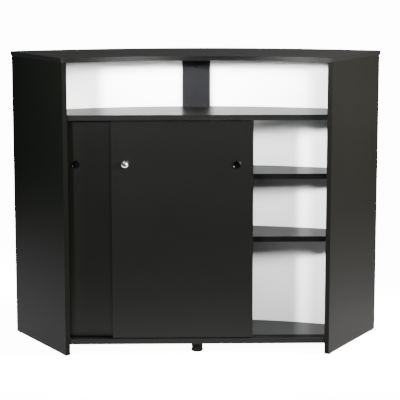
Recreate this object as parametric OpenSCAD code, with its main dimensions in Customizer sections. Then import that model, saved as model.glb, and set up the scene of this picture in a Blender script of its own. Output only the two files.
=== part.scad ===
// Curved bar counter cabinet with an open niche, two sliding doors with a push lock,
// and adjustable shelves. The service side faces -Y and the curved customer side faces +Y.
// Depths are counted from the service corners of the worktop towards the customer side.

/* [Overall] */
// Overall width, at the far corners of the worktop
width = 1345; // [1300:5:1400]
// Overall depth, from the service corners to the apex of the curve
depth = 444; // [440:1:460]
// Overall height, floor to worktop
height = 1048; // [1040:1:1100]
// Splay of the side panels from the depth direction, in degrees
wing_angle = 33.75; // [32:0.25:35]

/* [Worktop] */
// Thickness of the worktop
top_t = 16; // [16:1:22]
// Width of the worktop at its service corners
service_w = 924; // [910:2:940]
// How far the service edge bows in at its middle
front_bow = 84; // [60:1:100]
// Straight land at each service corner, before the bow starts
corner_land = 6; // [3:1:10]

/* [Side panels] */
// Thickness of the side panels
side_t = 18; // [16:1:19]
// Length of a side panel, measured along the board
side_len = 373.5; // [360:0.5:374]
// Set-back of the panel corner from the worktop corner
panel_inset = 1; // [0.5:0.5:2]
// Height of the glides under the side panels
glide_h = 3; // [2:0.5:5]
// Radius of the glides
glide_r = 8; // [6:0.5:8.5]

/* [Carcass boards] */
// Thickness of the bottom panel, the niche shelf and the adjustable shelves
board_t = 19; // [18:0.5:19]
// Depth of the straight front edge of the bottom panel and the niche shelf
board_front = 19; // [18:1:20]
// Height of the bottom panel's upper face
floor_z = 57.5; // [56:0.5:60]
// Height of the niche shelf's upper face
niche_z = 851; // [848:1:856]
// Thickness of the centre partition and of the centre upright
post_t = 18; // [16:1:18]
// Width of the centre upright
upright_w = 100; // [80:5:120]

/* [Facade] */
// Radius of the facade's inner face
facade_r = 1480; // [1440:10:1500]
// Depth of the facade's inner face at the middle
facade_apex = 268; // [264:1:272]
// Thickness of the facade sheet
facade_t = 5; // [4:0.5:6]
// Height of the facade's lower edge
facade_bottom = 12; // [10:1:20]
// Depth of the grooves that hold the sheet in the side panels
groove_depth = 8; // [6:0.5:9]
// Depth of the groove that holds the sheet in the worktop
top_groove = 6; // [4:0.5:8]

/* [Adjustable shelves] */
// Depth of the shelves' front edges
shelf_front = 69; // [68:1:75]
// Height of the lower shelf's upper face
lower_shelf_z = 412.5; // [348.5:32:444.5]
// Height difference of the two shelves
shelf_step = 224; // [192:32:256]
// Gap between a shelf and what surrounds it
shelf_play = 1.2; // [1:0.1:2]

/* [Doors] */
// Depth of the front door's face
door_face = 25; // [25:0.5:26]
// Thickness of a door
door_t = 16; // [16:1:16]
// Distance between the planes of the two doors
door_pitch = 20; // [20:0.5:21]
// Height of the doors' lower edge
door_bottom = 60; // [60:0.5:61]
// Height of a door board
door_h = 768.5; // [765:0.5:769]
// Width of the front door
front_door_w = 491; // [480:1:495]
// Left edge of the front door at rest
front_door_x = -297; // [-320:1:-280]
// Width of the rear door
rear_door_w = 509; // [500:1:515]
// Left edge of the rear door at rest
rear_door_x = -467.5; // [-467.5:0.5:-460]

/* [Door fittings] */
// Height of the finger cups' centres
cup_z = 675.5; // [660:0.5:690]
// Distance from the front door's right edge to its finger cup
front_cup_in = 57.5; // [45:0.5:60]
// Distance from the rear door's left edge to its finger cup
rear_cup_in = 47; // [45:0.5:60]
// Radius of a finger cup's rim
cup_rim_r = 14; // [13:0.5:16]
// Radius of a finger cup's bowl
cup_bowl_r = 11.5; // [11:0.5:12]
// Depth of a finger cup, rim included
cup_deep = 10.5; // [9:0.5:11]
// Distance from the front door's left edge to the lock
lock_in = 46.5; // [44:0.5:60]
// Height of the lock's centre
lock_z = 680; // [670:0.5:690]
// Stroke of the lock's plunger
lock_stroke = 6.5; // [5:0.5:6.5]
// How far the plunger stands proud of the door when it is out
lock_nose = 12; // [11:0.5:14]

/* [Feet] */
// Radius of the centre feet
foot_r = 21.5; // [20:0.5:24]
// Depth of the front foot's axis
front_foot_d = 70.5; // [68:0.5:80]
// Depth of the rear foot's axis
rear_foot_d = 235; // [220:1:240]

/* [Hidden] */

eps = 1; // overshoot of a cutting tool
wide_fn = 360; // segments of the large arcs
round_fn = 48; // segments of small round features
near_y = -depth / 2;

// Worktop outline
side_run = (width - service_w) / 2;
far_y = near_y + side_run / tan(wing_angle);
outer_bow = depth / 2 - far_y;
outer_r = (pow(width / 2, 2) + pow(outer_bow, 2)) / (2 * outer_bow);
bow_half = service_w / 2 - corner_land;
inner_r = (pow(bow_half, 2) + pow(front_bow, 2)) / (2 * front_bow);
top_z = height - top_t;

// Side panel frame: local X points out of the cabinet, local Y along the board
panel_x = service_w / 2 - panel_inset;
panel_y = near_y + panel_inset;
bow_y = near_y + facade_apex - facade_r;
sheet_play = 0.3;

// Boards
partition_top = niche_z - board_t;
upright_y = near_y + facade_apex - 1.2 - post_t;
partition_back = near_y + facade_apex - 0.8;
board_gap = 0.2;

// Fittings of the carcass
cam_r = 7.5;
cam_depth = 12.5;
cam_in = 34;
bolt_r = 3.5;
bolt_hole_r = 4;
thread_r = 2.5;
thread_len = 11;
dowel_r = 4;
dowel_in = 20;
dowel_out = 10;
fit_play = 0.1;
wall_cams = [60, 150, 300];
wall_dowels = [105, 230];
board_cams = [60, 142];
board_dowels = [84, 112];
cam_seat = 1.2;
cap_r = 8.4;
cap_lip = 0.8;
brad_turns = [2.2, 7, 12, 17.5];
partition_cams = [120, 220];
partition_dowels = [90, 170];
upright_dowels = [-30, 30];
pin_r = 2.5;
pin_deep = 8;
pin_out = 9;
wall_pins = [88, 155];
partition_pins = [105, 225];
pin_rows = [-32, 0, 32];
shelf_tops = [lower_shelf_z, lower_shelf_z + shelf_step];

// Tracks: a twin channel, let into the board
track_w = 44;
track_base = 2;
channel_w = 7.6;
slot_w = 4.6;
channel_deep = 9;
slot_deep = 7.6;
track_mid = near_y + door_face + door_t / 2 + door_pitch / 2;
track_half = 450;
channel_ys = [track_mid - door_pitch / 2, track_mid + door_pitch / 2];

// Doors
front_face_y = near_y + door_face;
rear_face_y = front_face_y + door_pitch;
runner_len = 56;
runner_in = 60;
runner_t = 7;
runner_deep = 18;
fin_t = 3.4;
lower_fin = 7;
upper_fin = 7.5;
guide_len = 40;
front_cup_x = front_door_x + front_door_w - front_cup_in;
rear_cup_x = rear_door_x + rear_cup_in;
lock_x = front_door_x + lock_in;
front_door_end = floor(wall_at(door_face) - 1);
strike_x = lock_x + front_door_end - front_door_x - front_door_w; // the lock, front door shut
cup_lip = 1.2;
cup_wall = 1.3;

// Lock
bezel_r = 13;
bezel_t = 3.5;
barrel_r = 9;
barrel_floor = 2.5;
plunger_r = 7.3;
bore_play = 0.35;
plug_r = 4.4;
plunger_back = 3;
spring_solid = 2.5;
barrel_len = plunger_back + lock_stroke + spring_solid + barrel_floor;
bolt_clearance = 1.3;
bolt_tip = door_pitch - bolt_clearance - lock_stroke;
bolt_rod_r = 4;
nut_af = 24;
nut_t = 4;
nut_pocket_r = 14.5;
nut_pocket = 5.4;
keyway_w = 1.3;
keyway_h = 6;
keyway_deep = 8;
spring_r = 5.9;
spring_wire = 0.45;
spring_turns = 4;
spring_steps = 12;
spring_sides = 8;

// Distance of a side panel's inner face from the middle plane at a given depth
function wall_at(d) =
    panel_x - side_t * cos(wing_angle)
    + (d - panel_inset - side_t * sin(wing_angle)) * tan(wing_angle);

// ---------- placement helpers ----------

// Right-hand side panel frame
module panel_frame() {
    translate([panel_x, panel_y, 0])
        rotate([0, 0, -wing_angle])
            children();
}

// The children and their mirror image across the middle plane
module both_sides() {
    children();
    mirror([1, 0, 0])
        children();
}

// A cylinder along local +Y
module rod_y(r, len) {
    rotate([-90, 0, 0])
        cylinder(r = r, h = len, $fn = round_fn);
}

// A cylinder along local +X
module rod_x(r, len) {
    rotate([0, 90, 0])
        cylinder(r = r, h = len, $fn = round_fn);
}

// The space inside the right-hand side panel, widened by reach into the panel
module right_room(reach) {
    panel_frame()
        translate([-2 * width - side_t + reach, -width, -height])
            cube([2 * width, 3 * width, 3 * height]);
}

// The space between both side panels, widened by reach into them
module room(reach) {
    intersection() {
        right_room(reach);
        mirror([1, 0, 0])
            right_room(reach);
    }
}

// The facade's curve as a wall between two heights, thickened by play on both faces
module bow_wall(play, z0, z1) {
    translate([0, bow_y, z0])
        difference() {
            cylinder(r = facade_r + facade_t + play, h = z1 - z0, $fn = wide_fn);
            translate([0, 0, -eps])
                cylinder(r = facade_r - play, h = z1 - z0 + 2 * eps, $fn = wide_fn);
        }
}

// A board between the side panels: straight front edge, curved back edge
module carcass_board(front, z0, t, gap) {
    intersection() {
        translate([-width / 2, near_y + front, z0])
            cube([width, depth, t]);
        translate([0, bow_y, z0])
            cylinder(r = facade_r - gap, h = t, $fn = wide_fn);
        room(-gap / 2);
    }
}

// ---------- joinery, drawn once as tools and once as hardware ----------

// Cams in the lower face of a board: pockets or cams
module board_cam_set(z0, r, len) {
    both_sides()
        panel_frame()
            for (y = board_cams)
                translate([-side_t - cam_in, y, z0])
                    cylinder(r = r, h = len, $fn = round_fn);
}

// Rods along the joint between a board end and a side panel
module board_rod_set(z_mid, r, inward, outward, places) {
    both_sides()
        panel_frame()
            for (y = places)
                translate([-side_t - inward, y, z_mid])
                    rod_x(r, inward + outward);
}

// Vertical rods from the side panels into the worktop
module wall_rod_set(r, down, up, places) {
    both_sides()
        panel_frame()
            for (y = places)
                translate([-side_t / 2, y, top_z - down])
                    cylinder(r = r, h = down + up, $fn = round_fn);
}

// Cams in the left face of the centre partition
module partition_cam_set(r, len, over) {
    for (y = partition_cams, z = [floor_z + cam_in, partition_top - cam_in])
        translate([-post_t / 2 - over, near_y + y, z])
            rod_x(r, len + over);
}

// Vertical rods from the partition into the bottom panel and the niche shelf
module partition_rod_set(r, inward, outward, places) {
    for (y = places) {
        translate([0, near_y + y, floor_z - outward])
            cylinder(r = r, h = inward + outward, $fn = round_fn);
        translate([0, near_y + y, partition_top - inward])
            cylinder(r = r, h = inward + outward, $fn = round_fn);
    }
}

// Vertical rods from the upright into the niche shelf and the worktop
module upright_rod_set(r, inward, outward) {
    for (x = upright_dowels) {
        translate([x, upright_y + post_t / 2, niche_z - outward])
            cylinder(r = r, h = inward + outward, $fn = round_fn);
        translate([x, upright_y + post_t / 2, top_z - inward])
            cylinder(r = r, h = inward + outward, $fn = round_fn);
    }
}

// The upright's one bolt into the worktop
module upright_bolt(r, down, up) {
    translate([0, upright_y + post_t / 2, top_z - down])
        cylinder(r = r, h = down + up, $fn = round_fn);
}

// One cam below its pocket's mouth, its cross recess at the outer end, along +X
module cam() {
    cross = [2.5, 8, 1.6];
    translate([cam_seat, 0, 0])
        difference() {
            rod_x(cam_r - fit_play, cam_depth - cam_seat - 0.3);
            for (turn = [0, 90])
                rotate([turn, 0, 0])
                    translate([-eps, -cross[1] / 2, -cross[2] / 2])
                        cube([eps + cross[0], cross[1], cross[2]]);
        }
}

// The cap that closes a cam's pocket: a thin lip on the face and a plug in the mouth
module cam_cap() {
    rotate([0, 90, 0])
        rotate_extrude($fn = round_fn)
            polygon([
                [0, -cap_lip], [cap_r - 0.6, -cap_lip], [cap_r, -0.2], [cap_r, 0],
                [cam_r - fit_play, 0], [cam_r - fit_play, cam_seat - fit_play],
                [0, cam_seat - fit_play]
            ]);
}

// The children at the mouth of every cam pocket, +X going in
module at_cams() {
    both_sides()
        panel_frame() {
            for (y = wall_cams)
                translate([-side_t, y, top_z - cam_in])
                    children();
            for (z = [floor_z, niche_z], y = board_cams)
                translate([-side_t - cam_in, y, z - board_t])
                    rotate([0, -90, 0])
                        children();
        }
    for (y = partition_cams, z = [floor_z + cam_in, partition_top - cam_in])
        translate([-post_t / 2, near_y + y, z])
            children();
    translate([0, upright_y, top_z - cam_in])
        rotate([0, 0, 90])
            children();
}

// ---------- boards ----------

module worktop() {
    color("dimgray")
        difference() {
            intersection() {
                translate([0, 0, top_z])
                    linear_extrude(top_t)
                        polygon([
                            [-service_w / 2, near_y], [service_w / 2, near_y],
                            [width / 2, far_y], [width / 2, depth],
                            [-width / 2, depth], [-width / 2, far_y]
                        ]);
                translate([0, depth / 2 - outer_r, top_z])
                    cylinder(r = outer_r, h = top_t, $fn = wide_fn);
            }
            translate([0, near_y + front_bow - inner_r, top_z - eps])
                cylinder(r = inner_r, h = top_t + 2 * eps, $fn = wide_fn);
            intersection() {
                bow_wall(sheet_play, top_z - eps, top_z + top_groove);
                room(groove_depth);
            }
            wall_rod_set(thread_r, 0, thread_len, wall_cams);
            wall_rod_set(dowel_r, 0, dowel_out, wall_dowels);
            upright_bolt(thread_r, 0, thread_len);
            upright_rod_set(dowel_r, 0, dowel_out);
        }
}

// The right-hand side panel; the left one is its mirror image
module side_panel() {
    difference() {
        panel_frame()
            translate([-side_t, 0, glide_h])
                cube([side_t, side_len, top_z - glide_h]);
        intersection() {
            bow_wall(sheet_play, facade_bottom - 2, height);
            right_room(groove_depth);
        }
        panel_frame() {
            for (y = wall_cams)
                translate([-side_t - eps, y, top_z - cam_in])
                    rod_x(cam_r, cam_depth + eps);
            for (y = wall_cams)
                translate([-side_t / 2, y, top_z - cam_in])
                    cylinder(r = bolt_hole_r, h = cam_in + eps, $fn = round_fn);
            for (y = wall_dowels)
                translate([-side_t / 2, y, top_z - dowel_in])
                    cylinder(r = dowel_r, h = dowel_in + eps, $fn = round_fn);
            for (z = [floor_z, niche_z], y = board_cams)
                translate([-side_t - eps, y, z - board_t / 2])
                    rod_x(thread_r, thread_len + eps);
            for (z = [floor_z, niche_z], y = board_dowels)
                translate([-side_t - eps, y, z - board_t / 2])
                    rod_x(dowel_r, dowel_out + eps);
            for (z = shelf_tops, row = pin_rows, y = wall_pins)
                translate([-side_t - eps, y, z + row - board_t - pin_r])
                    rod_x(pin_r, pin_deep + eps);
            for (y = [glide_r * 2, side_len - glide_r * 2])
                translate([-side_t / 2, y, glide_h - eps])
                    cylinder(r = 1.2, h = 15 + eps, $fn = round_fn);
        }
    }
}

module right_side_panel() {
    color("dimgray")
        side_panel();
}

module left_side_panel() {
    color("dimgray")
        mirror([1, 0, 0])
            side_panel();
}

// Bores shared by the two boards that end at the side panels
module board_joinery(z) {
    board_cam_set(z - board_t - eps, cam_r, cam_depth + eps);
    board_rod_set(z - board_t / 2, bolt_hole_r, cam_in, eps, board_cams);
    board_rod_set(z - board_t / 2, dowel_r, dowel_in, eps, board_dowels);
}

module bottom_panel() {
    color("dimgray")
        difference() {
            carcass_board(board_front, floor_z - board_t, board_t, board_gap);
            board_joinery(floor_z);
            track_recess(floor_z, 1);
            partition_rod_set(thread_r, 0, thread_len, partition_cams);
            partition_rod_set(dowel_r, 0, dowel_out, partition_dowels);
            for (y = [front_foot_d, rear_foot_d])
                translate([0, near_y + y, floor_z - board_t - eps])
                    cylinder(r = 1.8, h = eps + 8.2, $fn = round_fn);
        }
}

module niche_shelf() {
    color("dimgray")
        difference() {
            carcass_board(board_front, niche_z - board_t, board_t, board_gap);
            board_joinery(niche_z);
            track_recess(niche_z - board_t, -1);
            partition_rod_set(thread_r, 0, thread_len, partition_cams);
            partition_rod_set(dowel_r, 0, dowel_out, partition_dowels);
            upright_rod_set(dowel_r, 0, dowel_out);
        }
}

module centre_partition() {
    color("dimgray")
        difference() {
            translate([-post_t / 2, near_y + shelf_front, floor_z])
                cube([post_t, partition_back - near_y - shelf_front, partition_top - floor_z]);
            partition_cam_set(cam_r, cam_depth, eps);
            partition_rod_set(bolt_hole_r, cam_in, eps, partition_cams);
            partition_rod_set(dowel_r, dowel_in, eps, partition_dowels);
            for (side = [-1, 1], z = shelf_tops, row = pin_rows, y = partition_pins)
                translate([
                    side * (post_t / 2 - pin_deep / 2 + eps / 2),
                    near_y + y,
                    z + row - board_t - pin_r
                ])
                    rotate([0, 90, 0])
                        cylinder(r = pin_r, h = pin_deep + eps, center = true, $fn = round_fn);
        }
}

module centre_upright() {
    color("dimgray")
        difference() {
            translate([-upright_w / 2, upright_y, niche_z])
                cube([upright_w, post_t, top_z - niche_z]);
            translate([0, upright_y - eps, top_z - cam_in])
                rod_y(cam_r, cam_depth + eps);
            upright_bolt(bolt_hole_r, cam_in, eps);
            upright_rod_set(dowel_r, dowel_in, eps);
        }
}

// The right-hand half of the curved sheet
module facade_half() {
    intersection() {
        bow_wall(0, facade_bottom, top_z + top_groove - 1);
        translate([board_gap / 2, -depth, 0])
            cube([width, 2 * depth, 2 * height]);
        right_room(groove_depth - 0.5);
    }
}

module facade_right() {
    color("white")
        facade_half();
}

module facade_left() {
    color("white")
        mirror([1, 0, 0])
            facade_half();
}

// An adjustable shelf of the right-hand compartment
module half_shelf(z) {
    intersection() {
        translate([post_t / 2 + shelf_play, near_y + shelf_front, z - board_t])
            cube([width, depth, board_t]);
        translate([0, bow_y, z - board_t])
            cylinder(r = facade_r - shelf_play, h = board_t, $fn = wide_fn);
        right_room(-shelf_play);
    }
}

module upper_shelf_right() {
    color("dimgray")
        half_shelf(shelf_tops[1]);
}

module lower_shelf_right() {
    color("dimgray")
        half_shelf(shelf_tops[0]);
}

module upper_shelf_left() {
    color("dimgray")
        mirror([1, 0, 0])
            half_shelf(shelf_tops[1]);
}

module lower_shelf_left() {
    color("dimgray")
        mirror([1, 0, 0])
            half_shelf(shelf_tops[0]);
}

// ---------- tracks, feet and glides ----------

// What a track takes out of its board; way is 1 for a floor and -1 for a ceiling
module track_recess(z, way) {
    drop = channel_deep + fit_play;
    base = track_base + fit_play;
    translate([-track_half - 1, track_mid - track_w / 2 - fit_play, way > 0 ? z - base : z - eps])
        cube([2 * track_half + 2, track_w + 2 * fit_play, base + eps]);
    for (y = channel_ys)
        translate([-track_half - 1, y - channel_w / 2 - fit_play, way > 0 ? z - drop : z - eps])
            cube([2 * track_half + 2, channel_w + 2 * fit_play, drop + eps]);
}

// A twin track whose mouth is at height z
module twin_track(z, way) {
    difference() {
        union() {
            translate([-track_half, track_mid - track_w / 2, way > 0 ? z - track_base : z])
                cube([2 * track_half, track_w, track_base]);
            for (y = channel_ys)
                translate([-track_half, y - channel_w / 2, way > 0 ? z - channel_deep : z])
                    cube([2 * track_half, channel_w, channel_deep]);
        }
        for (y = channel_ys)
            translate([-track_half - eps, y - slot_w / 2, way > 0 ? z - slot_deep : z - eps])
                cube([2 * (track_half + eps), slot_w, slot_deep + eps]);
    }
}

module lower_track() {
    color([0.13, 0.13, 0.13])
        twin_track(floor_z, 1);
}

module upper_track() {
    color([0.13, 0.13, 0.13])
        twin_track(partition_top, -1);
}

module foot(d) {
    foot_h = floor_z - board_t;
    sole_h = 5;
    neck_r = foot_r - 1.5;
    bore_r = 5;
    translate([0, near_y + d, 0])
        difference() {
            rotate_extrude($fn = 96)
                polygon([
                    [0, 0], [foot_r - 1, 0], [foot_r, 1], [foot_r, sole_h],
                    [neck_r, sole_h + 1.5], [neck_r, foot_h - 4], [foot_r, foot_h - 3],
                    [foot_r, foot_h], [0, foot_h]
                ]);
            translate([0, 0, -eps])
                cylinder(r = bore_r, h = foot_h - 6 + eps, $fn = round_fn);
            cylinder(r = 2.2, h = foot_h + eps, $fn = round_fn);
        }
}

module front_foot() {
    color([0.1, 0.1, 0.1])
        foot(front_foot_d);
}

module rear_foot() {
    color([0.1, 0.1, 0.1])
        foot(rear_foot_d);
}

// Screws from inside the feet up into the bottom panel
module foot_screws() {
    head_z = floor_z - board_t - 6 - 3;
    color("silver")
        for (d = [front_foot_d, rear_foot_d])
            translate([0, near_y + d, head_z])
                difference() {
                    union() {
                        cylinder(r = 4, h = 3 - fit_play, $fn = round_fn);
                        cylinder(r = 1.7, h = 17, $fn = round_fn);
                    }
                    for (turn = [0, 90])
                        rotate([0, 0, turn])
                            translate([-2.5, -0.5, -eps])
                                cube([5, 1, eps + 1.5]);
                }
}

module side_glides() {
    color([0.1, 0.1, 0.1])
        both_sides()
            panel_frame()
                for (y = [glide_r * 2, side_len - glide_r * 2])
                    translate([-side_t / 2, y, 0]) {
                        cylinder(r1 = glide_r - 1, r2 = glide_r, h = 1, $fn = round_fn);
                        translate([0, 0, 1])
                            cylinder(r = glide_r, h = glide_h - 1, $fn = round_fn);
                        cylinder(r = 1.1, h = glide_h + 14, $fn = round_fn);
                    }
}

// ---------- joinery hardware ----------

module cam_locks() {
    color("silver")
        at_cams()
            cam();
}

module cam_caps() {
    color([0.1, 0.1, 0.1])
        at_cams()
            cam_cap();
}

// The bolts that the cams draw in: a thread in the other board and a plain shank
module cam_dowels() {
    shank = cam_in - cam_r - 0.2;
    color("silver") {
        both_sides()
            panel_frame() {
                for (y = wall_cams)
                    translate([-side_t / 2, y, top_z - shank]) {
                        cylinder(r = bolt_r, h = shank, $fn = round_fn);
                        cylinder(r = thread_r - fit_play, h = shank + thread_len - 0.5, $fn = round_fn);
                    }
                for (z = [floor_z, niche_z], y = board_cams)
                    translate([-side_t - shank, y, z - board_t / 2]) {
                        rod_x(bolt_r, shank);
                        rod_x(thread_r - fit_play, shank + thread_len - 0.5);
                    }
            }
        for (y = partition_cams) {
            translate([0, near_y + y, floor_z]) {
                cylinder(r = bolt_r, h = shank, $fn = round_fn);
                translate([0, 0, 0.5 - thread_len])
                    cylinder(r = thread_r - fit_play, h = thread_len, $fn = round_fn);
            }
            translate([0, near_y + y, partition_top - shank]) {
                cylinder(r = bolt_r, h = shank, $fn = round_fn);
                cylinder(r = thread_r - fit_play, h = shank + thread_len - 0.5, $fn = round_fn);
            }
        }
        upright_bolt(bolt_r, shank, 0);
        upright_bolt(thread_r - fit_play, shank, thread_len - 0.5);
    }
}

module wooden_dowels() {
    thin = dowel_r - fit_play;
    short = 0.5;
    color("burlywood") {
        wall_rod_set(thin, dowel_in - short, dowel_out - short, wall_dowels);
        for (z = [floor_z, niche_z])
            board_rod_set(z - board_t / 2, thin, dowel_in - short, dowel_out - short, board_dowels);
        partition_rod_set(thin, dowel_in - short, dowel_out - short, partition_dowels);
        upright_rod_set(thin, dowel_in - short, dowel_out - short);
    }
}

// One shelf pin along +X: the peg in its hole, then the support
module shelf_pin() {
    translate([-pin_deep + 0.5, 0, 0])
        rod_x(pin_r - fit_play, pin_deep - 0.5 + pin_out);
    rod_x(pin_r + 1, 1);
}

module shelf_pins() {
    color("silver")
        both_sides() {
            for (z = shelf_tops) {
                panel_frame()
                    for (y = wall_pins)
                        translate([-side_t - 0.05, y, z - board_t - pin_r])
                            mirror([1, 0, 0])
                                shelf_pin();
                for (y = partition_pins)
                    translate([post_t / 2 + 0.05, near_y + y, z - board_t - pin_r])
                        shelf_pin();
            }
        }
}

// Brads through the lower part of the sheet and at the niche shelf
module facade_brads() {
    brad_r = 0.8;
    head_r = 1.5;
    brad_len = 22;
    color("silver")
        for (side = [-1, 1], z = [floor_z, niche_z], turn = brad_turns)
            translate([0, bow_y, z - board_t / 2])
                rotate([0, 0, 90 - side * turn])
                    translate([facade_r + facade_t, 0, 0]) {
                        translate([-brad_len, 0, 0])
                            rod_x(brad_r, brad_len);
                        rod_x(head_r, 0.3);
                    }
}

// ---------- doors ----------

// A door board with its pockets; cup_x is the finger cup's centre
module door_board(x0, face_y, w, cup_x) {
    difference() {
        translate([x0, face_y, door_bottom])
            cube([w, door_t, door_h]);
        translate([cup_x, face_y - eps, cup_z])
            rod_y(cup_bowl_r + cup_wall + fit_play, cup_deep + fit_play + eps);
        for (side = [0, 1]) {
            centre = x0 + (side ? w - runner_in : runner_in);
            translate([centre - runner_len / 2 - fit_play, face_y + (door_t - runner_t) / 2 - fit_play,
                       door_bottom - eps])
                cube([runner_len + 2 * fit_play, runner_t + 2 * fit_play, runner_deep + eps + fit_play]);
            translate([centre - guide_len / 2 - fit_play, face_y + (door_t - runner_t) / 2 - fit_play,
                       door_bottom + door_h - runner_deep - fit_play])
                cube([guide_len + 2 * fit_play, runner_t + 2 * fit_play, runner_deep + eps + fit_play]);
        }
    }
}

// Two glide runners in the lower edge of a door
module runners(x0, face_y, w) {
    for (centre = [x0 + runner_in, x0 + w - runner_in])
        translate([centre, face_y + door_t / 2, door_bottom]) {
            translate([-runner_len / 2, -runner_t / 2, 0])
                cube([runner_len, runner_t, runner_deep]);
            translate([-runner_len / 2 + 4, -fin_t / 2, floor_z - door_bottom - lower_fin])
                cube([runner_len - 8, fin_t, lower_fin + door_bottom - floor_z + eps]);
        }
}

// Two guides in the upper edge of a door
module guides(x0, face_y, w) {
    door_top = door_bottom + door_h;
    reach = partition_top - door_top + upper_fin - eps;
    for (centre = [x0 + runner_in, x0 + w - runner_in])
        translate([centre, face_y + door_t / 2, door_top]) {
            translate([-guide_len / 2, -runner_t / 2, -runner_deep])
                cube([guide_len, runner_t, runner_deep]);
            translate([-guide_len / 2 + 4, -fin_t / 2, -eps])
                cube([guide_len - 8, fin_t, reach + eps]);
        }
}

// A finger cup, its rim on the door's face
module finger_cup(x, face_y) {
    outer = cup_bowl_r + cup_wall;
    translate([x, face_y, cup_z])
        rotate([90, 0, 0])
            rotate_extrude($fn = 96)
                polygon([
                    [0, -cup_deep], [outer, -cup_deep], [outer, 0], [cup_rim_r, 0],
                    [cup_rim_r, cup_lip - 0.5], [cup_rim_r - 0.5, cup_lip],
                    [cup_bowl_r + 0.6, cup_lip], [cup_bowl_r, cup_lip - 0.6],
                    [cup_bowl_r, cup_wall - cup_deep], [0, cup_wall - cup_deep]
                ]);
}

module front_door() {
    color("dimgray")
        difference() {
            door_board(front_door_x, front_face_y, front_door_w, front_cup_x);
            translate([lock_x, front_face_y - eps, lock_z])
                rod_y(barrel_r + 0.2, door_t + 2 * eps);
            translate([lock_x, front_face_y + door_t - nut_pocket, lock_z])
                rod_y(nut_pocket_r, nut_pocket + eps);
        }
}

module front_door_cup() {
    color([0.08, 0.08, 0.08])
        finger_cup(front_cup_x, front_face_y);
}

module front_door_runners() {
    color([0.1, 0.1, 0.1])
        runners(front_door_x, front_face_y, front_door_w);
}

module front_door_guides() {
    color([0.1, 0.1, 0.1])
        guides(front_door_x, front_face_y, front_door_w);
}

module rear_door() {
    color("dimgray")
        difference() {
            door_board(rear_door_x, rear_face_y, rear_door_w, rear_cup_x);
            translate([strike_x, rear_face_y - eps, lock_z])
                rod_y(7.1, 12.1 + eps);
        }
}

module rear_door_cup() {
    color([0.08, 0.08, 0.08])
        finger_cup(rear_cup_x, rear_face_y);
}

module rear_door_runners() {
    color([0.1, 0.1, 0.1])
        runners(rear_door_x, rear_face_y, rear_door_w);
}

module rear_door_guides() {
    color([0.1, 0.1, 0.1])
        guides(rear_door_x, rear_face_y, rear_door_w);
}

// A bush in the rear door that takes the lock bolt when both doors are shut
module lock_strike() {
    color("silver")
        translate([strike_x, rear_face_y + 0.2, lock_z])
            difference() {
                rod_y(7, 11.8);
                translate([0, -eps, 0])
                    rod_y(bolt_rod_r + 1, 10 + eps);
            }
}

// ---------- lock ----------

// Turned about the lock's axis; the profile is [radius, distance behind the door's face]
module turned(profile) {
    translate([lock_x, front_face_y, lock_z])
        rotate([90, 0, 0])
            rotate_extrude($fn = 96)
                polygon([for (p = profile) [p[0], -p[1]]]);
}

module lock_housing() {
    bore = plunger_r + bore_play;
    tip = bolt_rod_r + bore_play;
    color("silver")
        turned([
            [bore, -bezel_t], [bezel_r - 2.2, -bezel_t], [bezel_r - 0.7, 0.9 - bezel_t],
            [bezel_r, 2.4 - bezel_t], [bezel_r, 0], [barrel_r, 0], [barrel_r, barrel_len],
            [tip, barrel_len], [tip, barrel_len - barrel_floor], [bore, barrel_len - barrel_floor]
        ]);
}

module lock_nut() {
    seat = door_t - nut_pocket;
    color("silver")
        translate([lock_x, front_face_y + seat, lock_z])
            rotate([-90, 0, 0])
                difference() {
                    intersection() {
                        cylinder(r = nut_af / 2 / cos(30), h = nut_t, $fn = 6);
                        cylinder(r = nut_pocket_r - 0.6, h = nut_t, $fn = round_fn);
                    }
                    translate([0, 0, -eps])
                        cylinder(r = barrel_r + fit_play, h = nut_t + 2 * eps, $fn = round_fn);
                }
}

module lock_plunger() {
    bore = plug_r + bore_play;
    floor_at = plunger_back - 2;
    color("silver")
        turned([
            [bore, -lock_nose], [plunger_r - 1, -lock_nose], [plunger_r, 1 - lock_nose],
            [plunger_r, plunger_back], [bolt_rod_r, plunger_back], [bolt_rod_r, bolt_tip - 0.6],
            [bolt_rod_r - 0.6, bolt_tip], [0, bolt_tip], [0, floor_at], [bore, floor_at]
        ]);
}

module lock_plug() {
    plug_end = plunger_back - 2 - bore_play;
    face = 0.4 - lock_nose;
    color("silver")
        difference() {
            turned([[0, face], [plug_r - 0.4, face], [plug_r, face + 0.4], [plug_r, plug_end], [0, plug_end]]);
            translate([lock_x - keyway_w / 2, front_face_y + face - eps, lock_z - keyway_h / 2])
                cube([keyway_w, keyway_deep + eps, keyway_h]);
        }
}

// A compression spring between the plunger's shoulder and the barrel's floor
module lock_spring() {
    lo = plunger_back + spring_wire + 0.15;
    hi = barrel_len - barrel_floor - spring_wire - 0.15;
    rings = spring_turns * spring_steps;
    side_turn = 360 / spring_sides;
    ring_points = [
        for (i = [0:rings], k = [0:spring_sides - 1])
            let (
                turn = i * 360 / spring_steps,
                r = spring_r + spring_wire * cos(k * side_turn),
                along = lo + (hi - lo) * i / rings + spring_wire * sin(k * side_turn)
            )
            [r * cos(turn), along, r * sin(turn)]
    ];
    walls = [
        for (i = [0:rings - 1], k = [0:spring_sides - 1])
            let (next = (k + 1) % spring_sides, a = i * spring_sides, b = a + spring_sides)
            [a + k, b + k, b + next, a + next]
    ];
    first_cap = [for (k = [0:spring_sides - 1]) k];
    last_cap = [for (k = [spring_sides - 1:-1:0]) rings * spring_sides + k];
    color("silver")
        translate([lock_x, front_face_y, lock_z])
            polyhedron(points = ring_points, faces = concat(walls, [first_cap, last_cap]));
}

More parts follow.
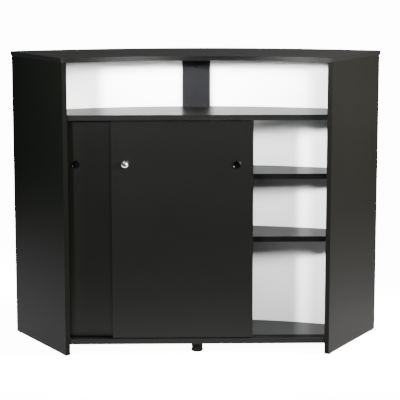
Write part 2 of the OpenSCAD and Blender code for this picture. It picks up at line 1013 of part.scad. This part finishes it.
worktop();
left_side_panel();
right_side_panel();
bottom_panel();
niche_shelf();
centre_partition();
centre_upright();
facade_left();
facade_right();
upper_shelf_left();
upper_shelf_right();
lower_shelf_left();
lower_shelf_right();
lower_track();
upper_track();
front_foot();
rear_foot();
side_glides();
cam_locks();
cam_caps();
cam_dowels();
wooden_dowels();
shelf_pins();
foot_screws();
facade_brads();
front_door();
front_door_cup();
front_door_runners();
front_door_guides();
rear_door();
rear_door_cup();
rear_door_runners();
rear_door_guides();
lock_strike();
lock_housing();
lock_nut();
lock_plunger();
lock_spring();
lock_plug();
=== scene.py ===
"""Looks of the curved bar counter cabinet: materials, board edges, lock spring, stage, lights, camera."""

import math

import bpy
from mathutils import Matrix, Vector


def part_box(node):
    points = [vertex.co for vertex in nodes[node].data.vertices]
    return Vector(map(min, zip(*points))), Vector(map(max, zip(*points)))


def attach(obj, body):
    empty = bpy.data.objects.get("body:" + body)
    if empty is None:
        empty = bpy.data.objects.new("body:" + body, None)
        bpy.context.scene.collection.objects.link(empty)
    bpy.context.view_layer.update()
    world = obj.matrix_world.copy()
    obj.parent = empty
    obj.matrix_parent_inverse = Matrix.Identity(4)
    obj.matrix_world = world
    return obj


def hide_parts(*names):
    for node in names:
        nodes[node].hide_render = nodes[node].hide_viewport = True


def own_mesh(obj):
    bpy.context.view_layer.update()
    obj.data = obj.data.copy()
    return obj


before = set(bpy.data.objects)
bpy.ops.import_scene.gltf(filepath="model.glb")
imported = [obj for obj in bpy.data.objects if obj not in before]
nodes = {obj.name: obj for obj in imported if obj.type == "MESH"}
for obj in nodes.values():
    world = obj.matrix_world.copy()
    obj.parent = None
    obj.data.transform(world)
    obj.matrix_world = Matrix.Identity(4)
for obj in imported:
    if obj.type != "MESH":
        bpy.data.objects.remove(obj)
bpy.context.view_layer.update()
scene = bpy.context.scene

ALONG_X = (1, 0, 0)
ALONG_Y = (0, 1, 0)
ALONG_Z = (0, 0, 1)

# ---------------------------------------------------------------- shader helpers


def new_material(name):
    material = bpy.data.materials.new(name)
    material.use_nodes = True
    tree = material.node_tree
    return material, tree, tree.nodes["Principled BSDF"]


def add(tree, kind, **settings):
    node = tree.nodes.new(kind)
    for key, value in settings.items():
        setattr(node, key, value)
    return node


def object_coords(tree, scale=(1, 1, 1)):
    coords = add(tree, "ShaderNodeTexCoord")
    mapping = add(tree, "ShaderNodeMapping")
    mapping.inputs["Scale"].default_value = scale
    tree.links.new(coords.outputs["Object"], mapping.inputs["Vector"])
    return mapping.outputs["Vector"]


def noise(tree, vector, scale, detail, roughness):
    node = add(tree, "ShaderNodeTexNoise")
    node.inputs["Scale"].default_value = scale
    node.inputs["Detail"].default_value = detail
    node.inputs["Roughness"].default_value = roughness
    tree.links.new(vector, node.inputs["Vector"])
    return node.outputs["Fac"]


def spread(tree, value, low, high, start=0.0, end=1.0, interpolation="LINEAR"):
    """Maps start..end to low..high, and stays at low or high outside."""
    node = add(tree, "ShaderNodeMapRange", interpolation_type=interpolation)
    node.inputs["From Min"].default_value = start
    node.inputs["From Max"].default_value = end
    node.inputs["To Min"].default_value = low
    node.inputs["To Max"].default_value = high
    tree.links.new(value, node.inputs["Value"])
    return node.outputs["Result"]


def maths(tree, operation, *values):
    """A Math node. Each value is a number or another node's output."""
    node = add(tree, "ShaderNodeMath", operation=operation)
    for socket, value in zip(node.inputs, values):
        if isinstance(value, (int, float)):
            socket.default_value = value
        else:
            tree.links.new(value, socket)
    return node.outputs["Value"]


def weighted(tree, *parts):
    """The sum of the parts, each of which is an output and its weight."""
    shares = [maths(tree, "MULTIPLY", output, weight) for output, weight in parts]
    total = shares[0]
    for share in shares[1:]:
        total = maths(tree, "ADD", total, share)
    return total


def tint(tree, fac, dark, light):
    node = add(tree, "ShaderNodeMix", data_type="RGBA")
    node.inputs["A"].default_value = (*dark, 1)
    node.inputs["B"].default_value = (*light, 1)
    tree.links.new(fac, node.inputs["Factor"])
    return node.outputs["Result"]


def scaled(tree, colour, factor):
    node = add(tree, "ShaderNodeVectorMath", operation="SCALE")
    tree.links.new(colour, node.inputs[0])
    tree.links.new(factor, node.inputs["Scale"])
    return node.outputs["Vector"]


def bump(tree, height, strength, distance):
    node = add(tree, "ShaderNodeBump")
    node.inputs["Strength"].default_value = strength
    node.inputs["Distance"].default_value = distance
    tree.links.new(height, node.inputs["Height"])
    return node.outputs["Normal"]


def edge_mask(tree, thick_axis):
    """1 on the narrow edges of a board, 0 on its faces; thick_axis is the board's thin direction."""
    on_face, on_edge = 0.95, 0.8
    geometry = add(tree, "ShaderNodeNewGeometry")
    dot = add(tree, "ShaderNodeVectorMath", operation="DOT_PRODUCT")
    dot.inputs[1].default_value = thick_axis
    tree.links.new(geometry.outputs["True Normal"], dot.inputs[0])
    facing = maths(tree, "ABSOLUTE", dot.outputs["Value"])
    return spread(tree, facing, 0.0, 1.0, on_face, on_edge)


# ---------------------------------------------------------------- kinds of material

GRAIN_ACROSS = 90.0
GRAIN_ALONG = 7.0
# Which coordinate the grain runs along
SIDEWAYS = 0
UPRIGHT = 2
# How much of the faces' relief and roughness is left on an edge band
BAND_RELIEF = 0.35
BAND_ROUGHNESS = 0.62


def melamine(name, dark, light, thick_axis, grain=UPRIGHT, ior=1.1, rough=(0.3, 0.42),
             painted_band_light=1.0, band_rough=BAND_ROUGHNESS):
    """Coated board: pearl texture, faint long grain, and smoother edge bands across thick_axis.
    The argument before band_rough scales the bands' colour: painted light or shade on the edge bands."""
    material, tree, shader = new_material(name)
    stretch = [GRAIN_ACROSS] * 3
    stretch[grain] = GRAIN_ALONG
    fine = noise(tree, object_coords(tree), 1500.0, 2.0, 0.6)
    pearl = noise(tree, object_coords(tree), 420.0, 3.0, 0.5)
    fibre = noise(tree, object_coords(tree, stretch), 4.0, 5.0, 0.6)
    cloud = noise(tree, object_coords(tree), 3.0, 3.0, 0.5)
    band = edge_mask(tree, thick_axis)
    shade = weighted(tree, (fibre, 0.45), (cloud, 0.25), (pearl, 0.3))
    # Painted light or shade: the edge bands' colour is scaled up or down here.
    colour = scaled(tree, tint(tree, shade, dark, light), spread(tree, band, 1.0, painted_band_light))
    roughness = spread(tree, weighted(tree, (pearl, 0.6), (cloud, 0.4)), *rough)
    roughness = maths(tree, "MULTIPLY", roughness, spread(tree, band, 1.0, band_rough))
    height = weighted(tree, (pearl, 0.7), (fine, 0.3))
    height = maths(tree, "MULTIPLY", height, spread(tree, band, 1.0, BAND_RELIEF))
    tree.links.new(colour, shader.inputs["Base Color"])
    tree.links.new(roughness, shader.inputs["Roughness"])
    tree.links.new(bump(tree, height, 0.25, 0.0002), shader.inputs["Normal"])
    shader.inputs["IOR"].default_value = ior
    return material


def lacquer(name, base):
    """Coated sheet: nearly even colour, soft orange peel."""
    material, tree, shader = new_material(name)
    cloud = noise(tree, object_coords(tree), 4.0, 3.0, 0.5)
    peel = noise(tree, object_coords(tree), 260.0, 2.0, 0.4)
    darker = tuple(channel * 0.97 for channel in base)
    tree.links.new(tint(tree, cloud, darker, base), shader.inputs["Base Color"])
    tree.links.new(spread(tree, cloud, 0.26, 0.34), shader.inputs["Roughness"])
    tree.links.new(bump(tree, peel, 0.12, 0.0001), shader.inputs["Normal"])
    shader.inputs["IOR"].default_value = 1.5
    return material


def moulded(name, dark, light, rough, ior):
    """Black moulded plastic with a spark-eroded grain."""
    material, tree, shader = new_material(name)
    grain = noise(tree, object_coords(tree), 900.0, 3.0, 0.6)
    cloud = noise(tree, object_coords(tree), 20.0, 3.0, 0.5)
    tree.links.new(tint(tree, cloud, [dark] * 3, [light] * 3), shader.inputs["Base Color"])
    tree.links.new(spread(tree, grain, *rough), shader.inputs["Roughness"])
    tree.links.new(bump(tree, grain, 0.3, 0.0001), shader.inputs["Normal"])
    shader.inputs["IOR"].default_value = ior
    return material


def metal(name, dark, light, rough):
    """Plated metal with fine machining lines and a slight tarnish."""
    material, tree, shader = new_material(name)
    lines = noise(tree, object_coords(tree, (600.0, 600.0, 60.0)), 3.0, 4.0, 0.6)
    cloud = noise(tree, object_coords(tree), 90.0, 3.0, 0.5)
    tree.links.new(tint(tree, cloud, dark, light), shader.inputs["Base Color"])
    tree.links.new(spread(tree, lines, *rough), shader.inputs["Roughness"])
    tree.links.new(bump(tree, lines, 0.08, 0.00005), shader.inputs["Normal"])
    shader.inputs["Metallic"].default_value = 1.0
    return material


def beech_wood(name):
    """Bare wood with a fine grain."""
    material, tree, shader = new_material(name)
    grain = noise(tree, object_coords(tree, (300.0, 300.0, 40.0)), 2.0, 5.0, 0.6)
    tree.links.new(tint(tree, grain, (0.45, 0.3, 0.16), (0.68, 0.5, 0.3)), shader.inputs["Base Color"])
    tree.links.new(spread(tree, grain, 0.5, 0.7), shader.inputs["Roughness"])
    tree.links.new(bump(tree, grain, 0.3, 0.0002), shader.inputs["Normal"])
    return material


# ---------------------------------------------------------------- this cabinet's materials

# The boards' darkest and lightest colours. With the low indices of refraction below, they give near
# black boards with faint reflections under the render's tone curve. All boards are one black melamine.
# The door, side panel, post, niche and worktop colours are set darker or lighter only to give each board
# its brightness under these lights, so they are painted light and shade. The left panel's darker,
# greenish copy is painted shade.
BOARD = ((0.0012, 0.0013, 0.0012), (0.0038, 0.0038, 0.0037))
DOOR_PAINTED_SHADE = ((0.0009, 0.001, 0.0009), (0.0027, 0.0028, 0.0026))
LEFT_PANEL_PAINTED_SHADE = ((0.0005, 0.0007, 0.0005), (0.0014, 0.0017, 0.0013))
RIGHT_PANEL_PAINTED_SHADE = ((0.0006, 0.0006, 0.0005), (0.0017, 0.0017, 0.0015))
POST_PAINTED_LIGHT = ((0.0028, 0.0028, 0.003), (0.0067, 0.0067, 0.0072))
NICHE_PAINTED_LIGHT = ((0.0022, 0.0023, 0.0022), (0.006, 0.006, 0.006))
TOP_PAINTED_SHADE = ((0.0005, 0.0005, 0.0005), (0.0013, 0.0013, 0.0014))

# The splayed side panels' thin directions
SPLAY = math.radians(33.75)
RIGHT_NORMAL = (math.cos(SPLAY), -math.sin(SPLAY), 0)
LEFT_NORMAL = (-math.cos(SPLAY), -math.sin(SPLAY), 0)

# Painted light and shade: the materials below are lit and shaded copies of one board colour, and their
# indices of refraction are set board by board as well.
floor_board = melamine("melamine_floor", *BOARD, ALONG_Z, SIDEWAYS, ior=1.16)
shelf_board = melamine("melamine_shelf", *BOARD, ALONG_Z, SIDEWAYS, ior=1.11)
# The band factors here paint light or shade onto the edge bands: darker on the niche shelf's front, lighter
# on the side panels' ends.
niche_board_painted_light_and_shade = melamine("melamine_niche_painted_light_and_shade", *NICHE_PAINTED_LIGHT, ALONG_Z, SIDEWAYS, ior=1.098, painted_band_light=0.7)
door_board_painted_shade = melamine("melamine_door_painted_shade", *DOOR_PAINTED_SHADE, ALONG_Y, ior=1.18)
post_board_painted_light = melamine("melamine_post_painted_light", *POST_PAINTED_LIGHT, ALONG_Y)
partition_board = melamine("melamine_partition", *BOARD, ALONG_X)
left_board_painted_light_and_shade = melamine("melamine_left_painted_light_and_shade", *LEFT_PANEL_PAINTED_SHADE, LEFT_NORMAL, ior=1.08, painted_band_light=1.2)
right_board_painted_light_and_shade = melamine("melamine_right_painted_light_and_shade", *RIGHT_PANEL_PAINTED_SHADE, RIGHT_NORMAL, ior=1.08, painted_band_light=3.8)
top_board_painted_shade = melamine("melamine_top_painted_shade", *TOP_PAINTED_SHADE, ALONG_Z, SIDEWAYS, ior=1.36, rough=(0.36, 0.46), band_rough=0.52)
white_sheet = lacquer("white_lacquer", (0.86, 0.865, 0.87))
track_plastic = moulded("track_plastic", 0.002, 0.004, (0.5, 0.62), ior=1.08)
foot_plastic = moulded("foot_plastic", 0.003, 0.006, (0.4, 0.55), ior=1.12)
# The cups are black plastic, set darker than the other plastics so that the bowls read dark: partly their
# own colour, partly painted shade.
cup_plastic = moulded("cup_plastic", 0.0004, 0.001, (0.24, 0.34), ior=1.15)
cap_plastic = moulded("cap_plastic", 0.0012, 0.003, (0.45, 0.6), ior=1.1)
chrome = metal("chrome", (0.72, 0.72, 0.74), (0.85, 0.85, 0.86), (0.06, 0.16))
zinc = metal("zinc", (0.5, 0.51, 0.52), (0.66, 0.66, 0.66), (0.25, 0.42))
beech = beech_wood("beech")

SHELVES = ["upper_shelf_left", "upper_shelf_right", "lower_shelf_left", "lower_shelf_right"]
NODE_MATERIALS = {
    floor_board: ["bottom_panel"],
    shelf_board: SHELVES,
    niche_board_painted_light_and_shade: ["niche_shelf"],
    door_board_painted_shade: ["front_door", "rear_door"],
    post_board_painted_light: ["centre_upright"],
    partition_board: ["centre_partition"],
    left_board_painted_light_and_shade: ["left_side_panel"],
    right_board_painted_light_and_shade: ["right_side_panel"],
    top_board_painted_shade: ["worktop"],
    white_sheet: ["facade_left", "facade_right"],
    track_plastic: ["lower_track", "upper_track", "front_door_runners", "front_door_guides",
                    "rear_door_runners", "rear_door_guides"],
    foot_plastic: ["front_foot", "rear_foot", "side_glides"],
    cup_plastic: ["front_door_cup", "rear_door_cup"],
    cap_plastic: ["cam_caps"],
    chrome: ["lock_housing", "lock_plunger", "lock_plug"],
    zinc: ["cam_locks", "cam_dowels", "shelf_pins", "foot_screws", "facade_brads", "lock_strike",
           "lock_nut", "lock_spring"],
    beech: ["wooden_dowels"],
}
for material, names in NODE_MATERIALS.items():
    for name in names:
        nodes[name].data.materials.clear()
        nodes[name].data.materials.append(material)

# ---------------------------------------------------------------- rounded board edges

ROUNDING = {
    0.0012: ["worktop"],
    0.001: ["left_side_panel", "right_side_panel", "bottom_panel", "niche_shelf", "front_door", "rear_door",
            *SHELVES],
    0.0008: ["centre_upright", "centre_partition"],
}
SAME_FACE = math.radians(0.5)
SHARP_EDGE = math.radians(40)


def round_edges(obj, width):
    """Flat faces are joined first, so that the bevel runs along the true edges only."""
    flat = obj.modifiers.new("flat", "DECIMATE")
    flat.decimate_type = "DISSOLVE"
    flat.angle_limit = SAME_FACE
    bevel = obj.modifiers.new("round", "BEVEL")
    bevel.width = width
    bevel.segments = 3
    bevel.limit_method = "ANGLE"
    bevel.angle_limit = SHARP_EDGE


for width, names in ROUNDING.items():
    for name in names:
        round_edges(nodes[name], width)

# ---------------------------------------------------------------- the lock's spring

WIRE_R = 0.00045
SPRING_TURNS = 5
# Turns at each end that lie wire on wire
CLOSED_TURNS = 0.7
STEPS_PER_TURN = 24
WIRE_SIDES = 12


def rise(turn, length):
    """How far along a spring of this length its wire is after so many turns."""
    per_closed_turn = 2 * WIRE_R
    closed_rise = CLOSED_TURNS * per_closed_turn
    if turn <= CLOSED_TURNS:
        return per_closed_turn * turn
    if turn >= SPRING_TURNS - CLOSED_TURNS:
        return length - per_closed_turn * (SPRING_TURNS - turn)
    share = (turn - CLOSED_TURNS) / (SPRING_TURNS - 2 * CLOSED_TURNS)
    return closed_rise + share * (length - 2 * closed_rise)


def helix_mesh(name, low, high):
    """A round wire wound about Y, which fills the box from low to high."""
    middle = (low + high) / 2
    radius = (high.x - low.x) / 2 - WIRE_R
    first = low.y + WIRE_R
    length = high.y - low.y - 2 * WIRE_R
    rings = SPRING_TURNS * STEPS_PER_TURN
    points = []
    for ring in range(rings + 1):
        turn = ring / STEPS_PER_TURN
        angle = 2 * math.pi * turn
        for side in range(WIRE_SIDES):
            around = 2 * math.pi * side / WIRE_SIDES
            reach = radius + WIRE_R * math.cos(around)
            y = first + rise(turn, length) + WIRE_R * math.sin(around)
            points.append((middle.x + reach * math.cos(angle), y, middle.z + reach * math.sin(angle)))
    last = rings * WIRE_SIDES
    faces = [tuple(reversed(range(WIRE_SIDES))), tuple(range(last, last + WIRE_SIDES))]
    for a in range(0, last, WIRE_SIDES):
        b = a + WIRE_SIDES
        for side in range(WIRE_SIDES):
            after = (side + 1) % WIRE_SIDES
            faces.append((a + side, a + after, b + after, b + side))
    mesh = bpy.data.meshes.new(name)
    mesh.from_pydata(points, [], faces)
    mesh.polygons.foreach_set("use_smooth", [True] * len(mesh.polygons))
    mesh.update()
    return mesh


def lock_spring_coil():
    """Stands for the CAD's rigid spring, and is attached to the plunger's body."""
    low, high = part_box("lock_spring")
    coil = bpy.data.objects.new("lock_spring_coil", helix_mesh("lock_spring_coil", low, high))
    scene.collection.objects.link(coil)
    coil.data.materials.append(zinc)
    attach(coil, "plunger")
    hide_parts("lock_spring")
    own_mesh(coil)


lock_spring_coil()

# ---------------------------------------------------------------- stage

FLOOR_RADIUS = 3.4
FADE_FROM = 0.75
# How strongly the floor and the world shine to the camera, and the world to everything else
FLOOR_SEEN = 12.0
WORLD_SEEN = 14.0
WORLD_AMBIENT = 0.12
# How strongly the floor shines in reflections, well in front of the cabinet and from near it backwards
FRONT_Y, NEAR_Y = -1.1, -0.4
FRONT_GLOW, NEAR_GLOW = 0.8, 3.4
# The share of its colour that the floor keeps in reflections
PAPER_REFLECTED = 0.4


def stage_floor():
    """A pale floor that fades out in a circle, white to the camera and dimmer in reflections."""
    mesh = bpy.data.meshes.new("floor")
    half = FLOOR_RADIUS
    corners = [(-half, -half, 0), (half, -half, 0), (half, half, 0), (-half, half, 0)]
    mesh.from_pydata(corners, [], [(0, 1, 2, 3)])
    floor = bpy.data.objects.new("floor", mesh)
    scene.collection.objects.link(floor)
    material, tree, shader = new_material("floor_paper")
    coords = object_coords(tree)
    speck = noise(tree, coords, 30.0, 3.0, 0.5)
    seen = add(tree, "ShaderNodeLightPath").outputs["Is Camera Ray"]
    paper = tint(tree, speck, (0.9, 0.9, 0.9), (0.93, 0.93, 0.93))
    paper = scaled(tree, paper, spread(tree, seen, PAPER_REFLECTED, 1.0))
    tree.links.new(paper, shader.inputs["Base Color"])
    tree.links.new(spread(tree, speck, 0.75, 0.85), shader.inputs["Roughness"])

    place = add(tree, "ShaderNodeSeparateXYZ")
    tree.links.new(coords, place.inputs["Vector"])
    glow = spread(tree, place.outputs["Y"], FRONT_GLOW, NEAR_GLOW, FRONT_Y, NEAR_Y, "SMOOTHSTEP")
    strength = add(tree, "ShaderNodeMix", data_type="FLOAT")
    strength.inputs["B"].default_value = FLOOR_SEEN
    tree.links.new(seen, strength.inputs["Factor"])
    tree.links.new(glow, strength.inputs["A"])
    tree.links.new(strength.outputs["Result"], shader.inputs["Emission Strength"])
    shader.inputs["Emission Color"].default_value = (1, 1, 1, 1)

    reach = add(tree, "ShaderNodeVectorMath", operation="LENGTH")
    tree.links.new(coords, reach.inputs[0])
    fade = spread(tree, reach.outputs["Value"], 1.0, 0.0, FADE_FROM, FLOOR_RADIUS, "SMOOTHSTEP")
    tree.links.new(fade, shader.inputs["Alpha"])
    mesh.materials.append(material)
    floor.visible_diffuse = False


def studio_world():
    """White behind the object, and a dim room for its light and reflections."""
    world = bpy.data.worlds.new("studio")
    scene.world = world
    world.use_nodes = True
    tree = world.node_tree
    room = tree.nodes["Background"]
    backdrop = add(tree, "ShaderNodeBackground")
    for background, strength in ((room, WORLD_AMBIENT), (backdrop, WORLD_SEEN)):
        background.inputs["Color"].default_value = (1, 1, 1, 1)
        background.inputs["Strength"].default_value = strength
    path = add(tree, "ShaderNodeLightPath")
    pick = add(tree, "ShaderNodeMixShader")
    tree.links.new(path.outputs["Is Camera Ray"], pick.inputs["Fac"])
    tree.links.new(room.outputs["Background"], pick.inputs[1])
    tree.links.new(backdrop.outputs["Background"], pick.inputs[2])
    tree.links.new(pick.outputs["Shader"], tree.nodes["World Output"].inputs["Surface"])


stage_floor()

# ---------------------------------------------------------------- lights

WHITE = (1.0, 1.0, 1.0)
WARM = (1.0, 0.965, 0.9)


def area_light(name, place, target, size, watts, beam, colour=WHITE, only=None):
    """An elliptical lamp that the camera doesn't see; beam is in degrees. One that is only "diffuse"
    leaves no highlights, and one that is only "glossy" leaves nothing else."""
    data = bpy.data.lights.new(name, "AREA")
    data.shape = "ELLIPSE"
    data.size, data.size_y = size
    data.energy = watts
    data.color = colour
    data.spread = math.radians(beam)
    lamp = bpy.data.objects.new(name, data)
    lamp.location = place
    lamp.rotation_euler = (Vector(target) - Vector(place)).to_track_quat("-Z", "Y").to_euler()
    lamp.visible_camera = False
    lamp.visible_glossy = only != "diffuse"
    lamp.visible_diffuse = only != "glossy"
    scene.collection.objects.link(lamp)


# The keys and the strip shape the shadows on the facade, and the fill lifts the one under the worktop
area_light("key_left", (-1.21, -1.75, 1.4), (-0.3, 0, 1.0),
           size=(0.28, 0.28), watts=70, beam=76, only="diffuse")
area_light("key_right", (0.78, -2.2, 1.63), (0.1, 0, 1.02),
           size=(0.46, 0.74), watts=38, beam=75, only="diffuse")
area_light("niche_strip", (0.78, -2.2, 1.48), (0.1, 0, 1.0),
           size=(0.9, 0.06), watts=4.4, beam=15, only="diffuse")
area_light("niche_fill", (0.1, -2.2, 1.02), (0.05, 0, 1.0),
           size=(0.9, 0.06), watts=0.37, beam=20, only="diffuse")
# The glints leave the two highlights on the worktop's curved edge
area_light("glint_left", (-0.44, -1.75, 0.97), (0.2, 0, 1.0),
           size=(0.18, 0.28), watts=2.2, beam=150, only="glossy")
area_light("glint_right", (0.46, -2.2, 0.97), (-0.2, 0, 1.0),
           size=(0.44, 0.28), watts=3.2, beam=150, only="glossy")
# These light the right-hand side panel, and the facade's outside
area_light("side_right", (2.7, -0.6, 1.5), (0.58, -0.06, 0.82),
           size=(0.6, 1.2), watts=168, beam=50, colour=WARM)
area_light("customer_side", (0.4, 3.4, 1.7), (0, 0.2, 0.5),
           size=(2.2, 1.4), watts=110, beam=120, only="diffuse")
studio_world()

# ---------------------------------------------------------------- camera

SENSOR_MM = 36.0
LENS_MM = 119.1375
SHIFT = -0.17
FAR_M = 60.0
DOWN_TILT = 0.1421
ROLL = 0.0002
TURN = -0.0186


def photo_camera():
    data = bpy.data.cameras.new("camera")
    data.sensor_width = SENSOR_MM
    data.lens = LENS_MM
    data.shift_y = SHIFT
    data.clip_end = FAR_M
    camera = bpy.data.objects.new("camera", data)
    camera.location = (-0.0745, -4.7082, 1.4364)
    camera.rotation_euler = (math.pi / 2 - DOWN_TILT, ROLL, TURN)
    scene.collection.objects.link(camera)
    scene.camera = camera


photo_camera()
